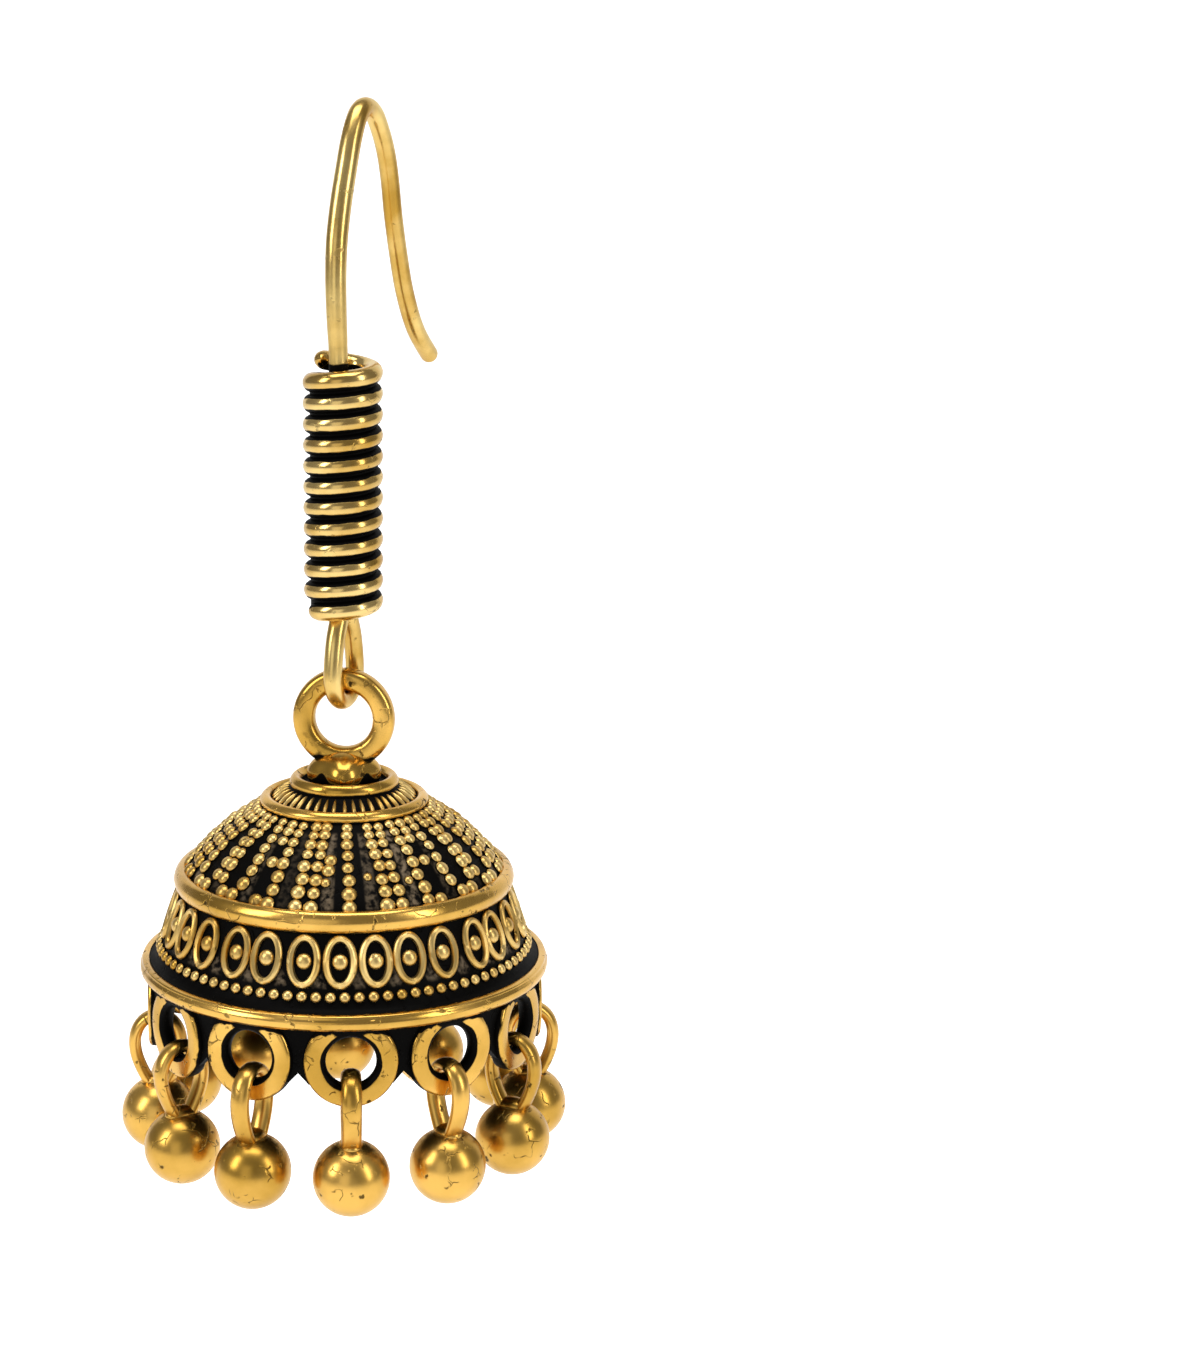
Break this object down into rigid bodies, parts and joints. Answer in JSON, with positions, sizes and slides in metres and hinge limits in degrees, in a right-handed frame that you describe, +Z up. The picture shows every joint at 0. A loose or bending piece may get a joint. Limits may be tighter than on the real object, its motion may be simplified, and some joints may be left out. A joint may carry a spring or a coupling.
{
  "type": "jhumka drop earring",
  "caption": "Jhumka drop earring: wire ear hook bound with a coil, holding a domed bell with cast relief, a bail ring and ball drops hung from eyelets round its rim.",
  "frame": {"origin": "inner top of the ear hook's arch, where the wire sits in the ear", "axes": "+Z up, -Y to the front, the bail ring in the XZ plane and the bell's swing axis along X"},
  "size_m": [0.0237, 0.0237, 0.0563],
  "materials": {
    "antique_gold": "antique gold plating on cast metal with black patina in the recesses",
    "polished_gold": "worn polished gold plating on wire and balls"
  },
  "bodies": {
    "hook": {"ear_hook": "polished_gold", "wire_coil": "antique_gold"},
    "bell": {"bell": "antique_gold", "drop_01": "polished_gold", "drop_02": "polished_gold", "drop_03": "polished_gold", "drop_04": "polished_gold", "drop_05": "polished_gold", "drop_06": "polished_gold", "drop_07": "polished_gold", "drop_08": "polished_gold", "drop_09": "polished_gold", "drop_10": "polished_gold", "drop_11": "polished_gold", "drop_12": "polished_gold"}
  },
  "joints": [
    {"name": "bell_swing", "type": "hinge", "parent": "hook", "child": "bell", "pos_m": [-0.00085, -0.00319, -0.02922], "axis": [1, 0, 0], "range_deg": [-90, 90]}
  ]
}
